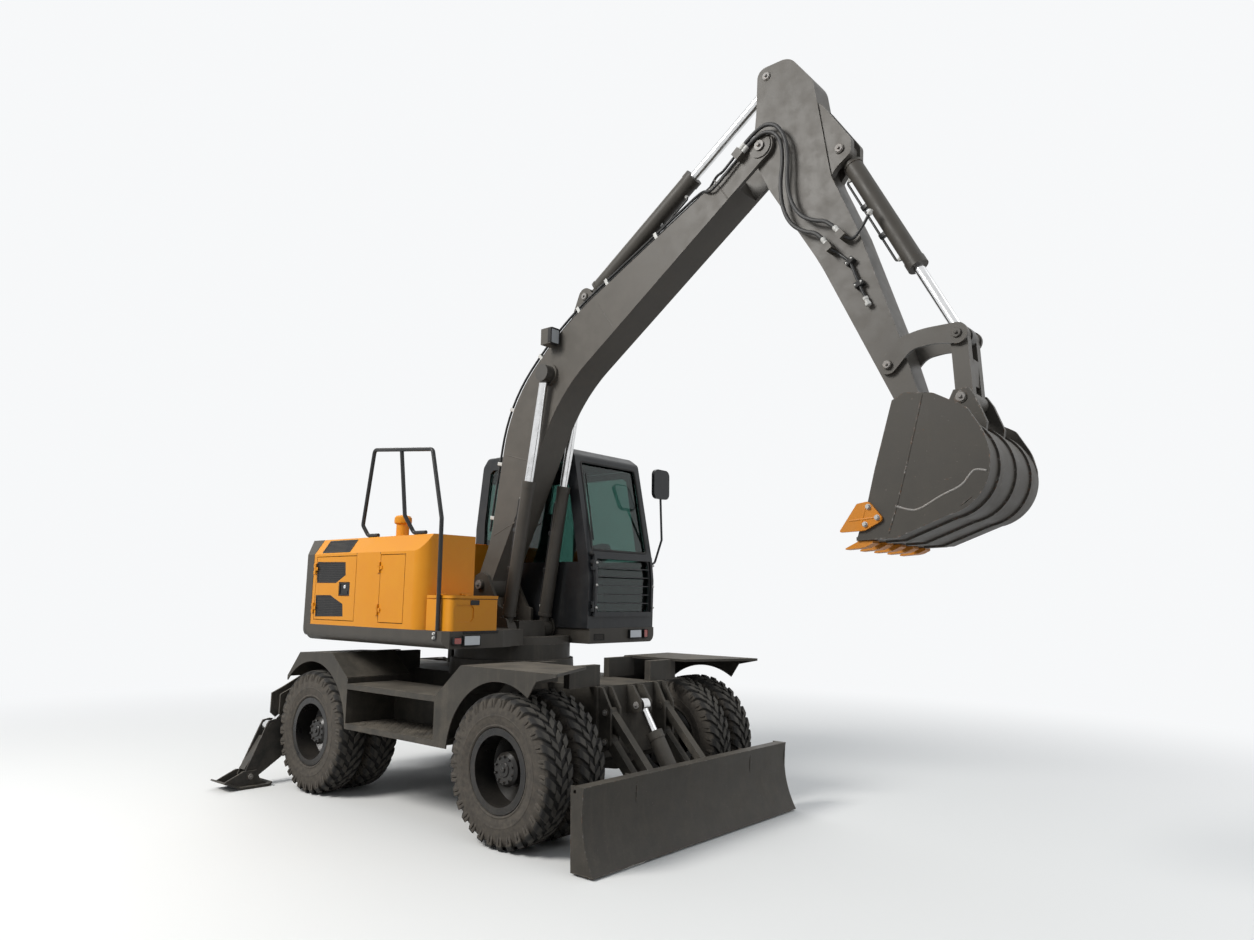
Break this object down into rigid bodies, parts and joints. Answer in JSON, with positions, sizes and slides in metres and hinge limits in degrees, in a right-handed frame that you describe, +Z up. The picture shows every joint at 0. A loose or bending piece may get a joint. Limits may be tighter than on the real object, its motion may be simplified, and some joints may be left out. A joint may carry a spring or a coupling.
{
  "type": "wheeled excavator",
  "caption": "Wheeled excavator on twin tyres with dozer blade, rear stabilisers, slewing upper structure with cab, one-piece boom, stick and bucket.",
  "frame": {"origin": "on the ground under the slew axis, midway between the axles", "axes": "+X forward to the blade, +Y to the left, +Z up"},
  "size_m": [6.4321, 3.44, 5.775],
  "materials": {
    "cab_glass": "green-tinted safety glass",
    "cab_plastic": "moulded grain",
    "cast_dark": "painted casting",
    "chrome_rod": "ground hard chrome",
    "hose_rubber": "braided rubber cover",
    "paint_black": "satin black paint",
    "paint_grey": "satin dark warm grey paint",
    "paint_orange": "semi-gloss orange-yellow paint",
    "rim_black": "gloss black paint",
    "seat_fabric": "woven cloth",
    "tyre": "dusty moulded rubber"
  },
  "bodies": {
    "chassis": {"chassis_frame": "paint_grey", "fenders": "paint_grey", "axles": "cast_dark"},
    "upper": {"revolving_frame": "paint_grey", "counterweight": "paint_grey", "hood": "paint_orange", "engine_block": "cast_dark", "tool_box": "paint_orange", "cab": "paint_black", "cab_glass": "cab_glass", "seat": "seat_fabric", "cab_controls": "cab_plastic", "handrail": "paint_black", "mirror_and_lamps": "cab_plastic"},
    "cab_door": {"cab_door": "paint_black", "cab_door_glass": "cab_glass"},
    "bucket": {"bucket": "paint_grey", "bucket_teeth": "paint_orange"},
    "boom": {"boom": "paint_grey", "hose_outer": "hose_rubber", "hose_inner": "hose_rubber"},
    "wheels_front_right": {"tyres_front_right": "tyre", "wheels_front_right": "rim_black"},
    "wheels_front_left": {"tyres_front_left": "tyre", "wheels_front_left": "rim_black"},
    "wheels_rear_right": {"tyres_rear_right": "tyre", "wheels_rear_right": "rim_black"},
    "wheels_rear_left": {"tyres_rear_left": "tyre", "wheels_rear_left": "rim_black"},
    "arm_cylinder_barrel": {"arm_cylinder_barrel": "paint_grey"},
    "arm_cylinder_rod": {"arm_cylinder_rod": "chrome_rod"},
    "blade": {"blade": "paint_grey"},
    "blade_arms": {"blade_arms": "paint_grey"},
    "blade_cylinder_barrel": {"blade_cylinder_barrel": "paint_grey"},
    "blade_cylinder_rod": {"blade_cylinder_rod": "chrome_rod"},
    "blade_links": {"blade_links": "paint_grey"},
    "boom_cylinder_barrel": {"boom_cylinder_barrel": "paint_grey"},
    "boom_cylinder_rod": {"boom_cylinder_rod": "chrome_rod"},
    "bucket_cylinder_barrel": {"bucket_cylinder_barrel": "paint_grey"},
    "bucket_cylinder_rod": {"bucket_cylinder_rod": "chrome_rod"},
    "bucket_link": {"bucket_link": "paint_grey"},
    "hood_door_front": {"hood_door_front": "paint_orange"},
    "hood_door_left": {"hood_door_left": "paint_orange"},
    "hood_door_rear": {"hood_door_rear": "paint_orange"},
    "hood_lid": {"hood_lid": "paint_orange"},
    "knuckle_left": {"knuckle_left": "paint_grey"},
    "knuckle_right": {"knuckle_right": "paint_grey"},
    "rocker": {"rocker": "paint_grey"},
    "stabiliser_cylinder_left_barrel": {"stabiliser_cylinder_left_barrel": "paint_grey"},
    "stabiliser_cylinder_left_rod": {"stabiliser_cylinder_left_rod": "chrome_rod"},
    "stabiliser_cylinder_right_barrel": {"stabiliser_cylinder_right_barrel": "paint_grey"},
    "stabiliser_cylinder_right_rod": {"stabiliser_cylinder_right_rod": "chrome_rod"},
    "stabiliser_foot_left": {"stabiliser_foot_left": "paint_grey"},
    "stabiliser_foot_right": {"stabiliser_foot_right": "paint_grey"},
    "stabiliser_leg_left": {"stabiliser_leg_left": "paint_grey"},
    "stabiliser_leg_right": {"stabiliser_leg_right": "paint_grey"},
    "stick": {"stick": "paint_grey"},
    "tool_box_lid": {"tool_box_lid": "paint_orange"},
    "window_guard": {"window_guard": "paint_black"}
  },
  "joints": [
    {"name": "wheel_front_right_spin", "type": "hinge", "parent": "knuckle_right", "child": "wheels_front_right", "pos_m": [1.245, -0.64, 0.525], "axis": [0, 1, 0], "continuous": true},
    {"name": "wheel_front_left_spin", "type": "hinge", "parent": "knuckle_left", "child": "wheels_front_left", "pos_m": [1.245, 0.64, 0.525], "axis": [0, 1, 0], "continuous": true},
    {"name": "wheel_rear_right_spin", "type": "hinge", "parent": "chassis", "child": "wheels_rear_right", "pos_m": [-1.245, -0.9, 0.525], "axis": [0, 1, 0], "continuous": true},
    {"name": "wheel_rear_left_spin", "type": "hinge", "parent": "chassis", "child": "wheels_rear_left", "pos_m": [-1.245, 0.9, 0.525], "axis": [0, 1, 0], "continuous": true},
    {"name": "steer_right", "type": "hinge", "parent": "chassis", "child": "knuckle_right", "pos_m": [1.245, -0.64, 0.525], "axis": [0, 0, 1], "range_deg": [-24, 24]},
    {"name": "steer_left", "type": "hinge", "parent": "chassis", "child": "knuckle_left", "pos_m": [1.245, 0.64, 0.525], "axis": [0, 0, 1], "range_deg": [-24.2, 24.2]},
    {"name": "blade_lift", "type": "hinge", "parent": "chassis", "child": "blade_arms", "pos_m": [1.5, 0, 0.655], "axis": [0, -1, 0], "range_deg": [-5, 38]},
    {"name": "blade_level", "type": "hinge", "parent": "blade_arms", "child": "blade", "pos_m": [1.9, 0, 0.235], "axis": [0, -1, 0], "range_deg": [-38.5, 5.5]},
    {"name": "blade_link_lift", "type": "hinge", "parent": "chassis", "child": "blade_links", "pos_m": [1.5, 0, 0.87], "axis": [0, -1, 0], "range_deg": [-5.5, 38.5]},
    {"name": "blade_cylinder_swing", "type": "hinge", "parent": "blade", "child": "blade_cylinder_barrel", "pos_m": [1.89, 0, 0.33], "axis": [0, -1, 0], "range_deg": [-4.93, 34.14]},
    {"name": "blade_cylinder_stroke", "type": "slide", "parent": "blade_cylinder_barrel", "child": "blade_cylinder_rod", "axis": [-0.534, 0, 0.8455], "range_m": [-0.08996, 0.01357]},
    {"name": "stabiliser_right", "type": "hinge", "parent": "chassis", "child": "stabiliser_leg_right", "pos_m": [-1.88, -0.89, 0.445], "axis": [-1, 0, 0], "range_deg": [-4, 44]},
    {"name": "stabiliser_foot_right", "type": "hinge", "parent": "stabiliser_leg_right", "child": "stabiliser_foot_right", "pos_m": [-1.88, -1.465, 0.1], "axis": [-1, 0, 0], "range_deg": [-33.5, 3.5]},
    {"name": "stabiliser_cylinder_right_swing", "type": "hinge", "parent": "chassis", "child": "stabiliser_cylinder_right_barrel", "pos_m": [-1.88, -0.66, 1], "axis": [-1, 0, 0], "range_deg": [-1.58, 12.4]},
    {"name": "stabiliser_cylinder_right_stroke", "type": "slide", "parent": "stabiliser_cylinder_right_barrel", "child": "stabiliser_cylinder_right_rod", "axis": [0, -0.7876, -0.6161], "range_m": [-0.26274, 0.0257]},
    {"name": "stabiliser_left", "type": "hinge", "parent": "chassis", "child": "stabiliser_leg_left", "pos_m": [-1.88, 0.89, 0.445], "axis": [1, 0, 0], "range_deg": [-4, 44]},
    {"name": "stabiliser_foot_left", "type": "hinge", "parent": "stabiliser_leg_left", "child": "stabiliser_foot_left", "pos_m": [-1.88, 1.465, 0.1], "axis": [1, 0, 0], "range_deg": [-33.5, 3.5]},
    {"name": "stabiliser_cylinder_left_swing", "type": "hinge", "parent": "chassis", "child": "stabiliser_cylinder_left_barrel", "pos_m": [-1.88, 0.66, 1], "axis": [1, 0, 0], "range_deg": [-1.58, 12.4]},
    {"name": "stabiliser_cylinder_left_stroke", "type": "slide", "parent": "stabiliser_cylinder_left_barrel", "child": "stabiliser_cylinder_left_rod", "axis": [0, 0.7876, -0.6161], "range_m": [-0.26274, 0.0257]},
    {"name": "slew", "type": "hinge", "parent": "chassis", "child": "upper", "pos_m": [0, 0, 1.32], "axis": [0, 0, 1], "continuous": true},
    {"name": "hood_door_rear_swing", "type": "hinge", "parent": "upper", "child": "hood_door_rear", "pos_m": [-1.338, -1.228, 1.8], "axis": [0, 0, -1], "range_deg": [0, 95]},
    {"name": "hood_door_front_swing", "type": "hinge", "parent": "upper", "child": "hood_door_front", "pos_m": [-0.325, -1.228, 1.8], "axis": [0, 0, -1], "range_deg": [0, 95]},
    {"name": "hood_door_left_swing", "type": "hinge", "parent": "upper", "child": "hood_door_left", "pos_m": [-1.303, 1.228, 1.8], "axis": [0, 0, 1], "range_deg": [0, 95]},
    {"name": "hood_lid_lift", "type": "hinge", "parent": "upper", "child": "hood_lid", "pos_m": [-1.323, 0, 2.228], "axis": [0, -1, 0], "range_deg": [0, 70]},
    {"name": "tool_box_lid_lift", "type": "hinge", "parent": "upper", "child": "tool_box_lid", "pos_m": [0.278, -0.915, 1.737], "axis": [0, -1, 0], "range_deg": [0, 85]},
    {"name": "cab_door_swing", "type": "hinge", "parent": "upper", "child": "cab_door", "pos_m": [-0.333, 1.223, 2.2], "axis": [0, 0, 1], "range_deg": [0, 90]},
    {"name": "window_guard_swing", "type": "hinge", "parent": "upper", "child": "window_guard", "pos_m": [0.682, 0.33, 1.85], "axis": [0, 0, -1], "range_deg": [0, 90]},
    {"name": "boom_lift", "type": "hinge", "parent": "upper", "child": "boom", "pos_m": [-0.25, 0, 1.832], "axis": [0, -1, 0], "range_deg": [-75, 14]},
    {"name": "boom_cylinder_swing", "type": "hinge", "parent": "upper", "child": "boom_cylinder_barrel", "pos_m": [0.16, 0, 1.44], "axis": [0, -1, 0], "range_deg": [-74.17, 14.25]},
    {"name": "boom_cylinder_stroke", "type": "slide", "parent": "boom_cylinder_barrel", "child": "boom_cylinder_rod", "axis": [0.17, 0, 0.9854], "range_m": [-0.67059, 0.1268]},
    {"name": "stick_swing", "type": "hinge", "parent": "boom", "child": "stick", "pos_m": [2.745, 0, 5.12], "axis": [0, 1, 0], "range_deg": [-80, 35]},
    {"name": "arm_cylinder_swing", "type": "hinge", "parent": "boom", "child": "arm_cylinder_barrel", "pos_m": [0.88, 0, 4.375], "axis": [0, -1, 0], "range_deg": [-3.22, 6.72]},
    {"name": "arm_cylinder_stroke", "type": "slide", "parent": "arm_cylinder_barrel", "child": "arm_cylinder_rod", "axis": [0.8213, 0, 0.5705], "range_m": [-0.7003, 0.3075]},
    {"name": "bucket_curl", "type": "hinge", "parent": "stick", "child": "bucket", "pos_m": [3.87, 0, 2.885], "axis": [0, 1, 0], "range_deg": [-50, 60]},
    {"name": "rocker_swing", "type": "hinge", "parent": "stick", "child": "rocker", "pos_m": [3.69, 0, 3.258], "axis": [0, -1, 0], "range_deg": [-40.7, 34]},
    {"name": "bucket_link_swing", "type": "hinge", "parent": "rocker", "child": "bucket_link", "pos_m": [4.14, 0, 3.39], "axis": [0, -1, 0], "range_deg": [-32.5, 38.9]},
    {"name": "bucket_cylinder_swing", "type": "hinge", "parent": "stick", "child": "bucket_cylinder_barrel", "pos_m": [3.365, 0, 4.905], "axis": [0, -1, 0], "range_deg": [-2.99, 2.57]},
    {"name": "bucket_cylinder_stroke", "type": "slide", "parent": "bucket_cylinder_barrel", "child": "bucket_cylinder_rod", "axis": [0.4554, 0, -0.8903], "range_m": [-0.25227, 0.30232]}
  ],
  "couplings": [
    {"joint": "steer_left", "follows": "steer_right", "ratio": 1},
    {"joint": "blade_level", "follows": "blade_lift", "ratio": -1},
    {"joint": "blade_link_lift", "follows": "blade_lift", "ratio": 1},
    {"joint": "blade_cylinder_swing", "follows": "blade_lift", "ratio": 0.88523},
    {"joint": "blade_cylinder_stroke", "follows": "blade_lift", "m_per_rad": -0.13263},
    {"joint": "stabiliser_foot_right", "follows": "stabiliser_right", "ratio": -0.75},
    {"joint": "stabiliser_cylinder_right_swing", "follows": "stabiliser_right", "ratio": 0.27044},
    {"joint": "stabiliser_cylinder_right_stroke", "follows": "stabiliser_right", "m_per_rad": -0.33953},
    {"joint": "stabiliser_foot_left", "follows": "stabiliser_left", "ratio": -0.75},
    {"joint": "stabiliser_cylinder_left_swing", "follows": "stabiliser_left", "ratio": 0.27044},
    {"joint": "stabiliser_cylinder_left_stroke", "follows": "stabiliser_left", "m_per_rad": -0.33953},
    {"joint": "boom_cylinder_swing", "follows": "boom_lift", "ratio": 0.98233},
    {"joint": "boom_cylinder_stroke", "follows": "boom_lift", "m_per_rad": 0.51077},
    {"joint": "arm_cylinder_swing", "follows": "stick_swing", "ratio": -0.07773},
    {"joint": "arm_cylinder_stroke", "follows": "stick_swing", "m_per_rad": 0.50012},
    {"joint": "rocker_swing", "follows": "bucket_curl", "ratio": -0.67},
    {"joint": "bucket_link_swing", "follows": "bucket_curl", "ratio": 0.64},
    {"joint": "bucket_cylinder_swing", "follows": "bucket_curl", "ratio": -0.041461},
    {"joint": "bucket_cylinder_stroke", "follows": "bucket_curl", "m_per_rad": 0.28679}
  ]
}
